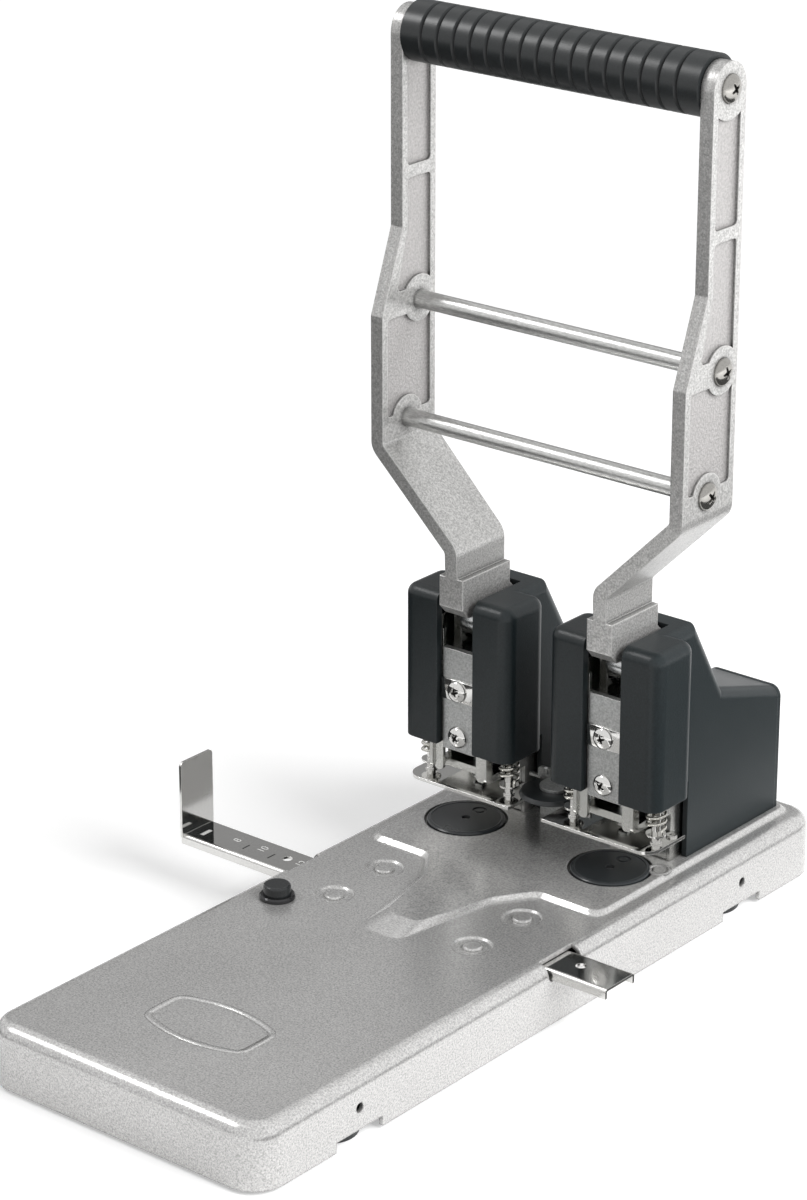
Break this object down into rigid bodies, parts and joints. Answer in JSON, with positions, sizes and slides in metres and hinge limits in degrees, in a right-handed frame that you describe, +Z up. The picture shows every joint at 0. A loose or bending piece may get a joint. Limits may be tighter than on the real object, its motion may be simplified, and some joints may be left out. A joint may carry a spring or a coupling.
{
  "type": "paper drill",
  "caption": "Heavy-duty desk punch: a long lever with a ribbed grip presses hollow pins through a paper stack on to cutting discs; sliding side stop with lock button.",
  "frame": {"origin": "centre of the base's footprint, on the surface it stands on", "axes": "+Z up, +X to the right seen from the operator's side and along the lever's hinge, +Y to the back where the punch heads stand"},
  "size_m": [0.235, 0.381, 0.395],
  "materials": {
    "shell_paint": "satin",
    "black_plastic": "fine texture",
    "black_rubber": "matt",
    "zinc_steel": "zinc plated",
    "grey_steel": "matt",
    "chrome_plate": "polished",
    "spring_steel": "wire",
    "lever_paint": "satin, fine speckle",
    "disc_plastic": "satin",
    "button_plastic": "gloss",
    "tool_steel": "ground"
  },
  "bodies": {
    "base": {"base_shell": "shell_paint", "base_pan": "black_plastic", "rubber_feet": "black_rubber", "rubber_mat": "black_rubber", "stiffener_plate": "zinc_steel", "guide_rails": "zinc_steel", "guide_rivets": "zinc_steel", "disc_spindles": "zinc_steel", "spare_disc": "disc_plastic", "disc_holder": "grey_steel", "button_collar": "chrome_plate", "latch_pin": "zinc_steel", "latch_bracket": "zinc_steel", "latch_spring": "spring_steel", "head_frame_left": "zinc_steel", "head_cover_left": "black_plastic", "rear_plate_left": "black_plastic", "head_bolts_left": "zinc_steel", "lever_pivot_left": "zinc_steel", "paper_stop_left": "zinc_steel", "return_spring_left": "spring_steel", "head_frame_right": "zinc_steel", "head_cover_right": "black_plastic", "rear_plate_right": "black_plastic", "head_bolts_right": "zinc_steel", "lever_pivot_right": "zinc_steel", "paper_stop_right": "zinc_steel", "return_spring_right": "spring_steel"},
    "lever": {"lever_arm_left": "lever_paint", "lever_arm_right": "lever_paint", "cross_rod_upper": "chrome_plate", "cross_rod_lower": "chrome_plate", "grip_tube": "zinc_steel", "grip_sleeve": "black_rubber", "arm_screws": "chrome_plate", "pivot_spacers_left": "zinc_steel", "pivot_spacers_right": "zinc_steel"},
    "carrier_left": {"punch_carrier_left": "zinc_steel", "carrier_plate_left": "grey_steel", "carrier_screws_left": "chrome_plate", "punch_pin_left": "tool_steel", "roller_pin_left": "tool_steel"},
    "roller_body_left": {"roller_left": "tool_steel"},
    "stripper_left": {"stripper_plate_left": "chrome_plate", "stripper_posts_left": "chrome_plate", "stripper_springs_left": "spring_steel"},
    "disc_left": {"cutting_disc_left": "disc_plastic"},
    "carrier_right": {"punch_carrier_right": "zinc_steel", "carrier_plate_right": "grey_steel", "carrier_screws_right": "chrome_plate", "punch_pin_right": "tool_steel", "roller_pin_right": "tool_steel"},
    "roller_body_right": {"roller_right": "tool_steel"},
    "stripper_right": {"stripper_plate_right": "chrome_plate", "stripper_posts_right": "chrome_plate", "stripper_springs_right": "spring_steel"},
    "disc_right": {"cutting_disc_right": "disc_plastic"},
    "side_stop_body": {"side_stop": "chrome_plate"},
    "button": {"lock_button": "button_plastic"},
    "latch": {"stop_latch": "zinc_steel"}
  },
  "joints": [
    {"name": "handle_swing", "type": "hinge", "parent": "base", "child": "lever", "pos_m": [0, 0.10457, 0.094], "axis": [1, 0, 0], "range_deg": [0, 70], "stiffness_Nm_per_rad": 3},
    {"name": "punch_slide_left", "type": "slide", "parent": "base", "child": "carrier_left", "axis": [0, 0, 1], "range_m": [-0.02, 0], "deforming": ["return_spring_left"]},
    {"name": "roller_turn_left", "type": "hinge", "parent": "carrier_left", "child": "roller_body_left", "pos_m": [-0.04, 0.0882, 0.124], "axis": [1, 0, 0], "continuous": true},
    {"name": "stripper_slide_left", "type": "slide", "parent": "base", "child": "stripper_left", "axis": [0, 0, 1], "range_m": [-0.0155, 0], "deforming": ["stripper_springs_left"]},
    {"name": "disc_turn_left", "type": "hinge", "parent": "base", "child": "disc_left", "pos_m": [-0.04, 0.0785, 0.031], "axis": [0, 0, 1], "continuous": true},
    {"name": "punch_slide_right", "type": "slide", "parent": "base", "child": "carrier_right", "axis": [0, 0, 1], "range_m": [-0.02, 0], "deforming": ["return_spring_right"]},
    {"name": "roller_turn_right", "type": "hinge", "parent": "carrier_right", "child": "roller_body_right", "pos_m": [0.04, 0.0882, 0.124], "axis": [1, 0, 0], "continuous": true},
    {"name": "stripper_slide_right", "type": "slide", "parent": "base", "child": "stripper_right", "axis": [0, 0, 1], "range_m": [-0.0155, 0], "deforming": ["stripper_springs_right"]},
    {"name": "disc_turn_right", "type": "hinge", "parent": "base", "child": "disc_right", "pos_m": [0.04, 0.0785, 0.031], "axis": [0, 0, 1], "continuous": true},
    {"name": "side_stop_slide", "type": "slide", "parent": "base", "child": "side_stop_body", "axis": [1, 0, 0], "range_m": [-0.05, 0.05]},
    {"name": "lock_button_press", "type": "slide", "parent": "base", "child": "button", "axis": [0, 0, 1], "range_m": [-0.002, 0], "stiffness_N_per_m": 600, "deforming": ["latch_spring"]},
    {"name": "latch_turn", "type": "hinge", "parent": "base", "child": "latch", "pos_m": [-0.0552, -0.05, 0.01765], "axis": [1, 0, 0], "range_deg": [-6.4, 0]}
  ],
  "couplings": [
    {"joint": "punch_slide_left", "follows": "handle_swing", "m_per_rad": -0.01637},
    {"joint": "stripper_slide_left", "follows": "handle_swing", "m_per_rad": -0.012687},
    {"joint": "punch_slide_right", "follows": "handle_swing", "m_per_rad": -0.01637},
    {"joint": "stripper_slide_right", "follows": "handle_swing", "m_per_rad": -0.012687},
    {"joint": "latch_turn", "follows": "lock_button_press", "rad_per_m": 55.556}
  ]
}
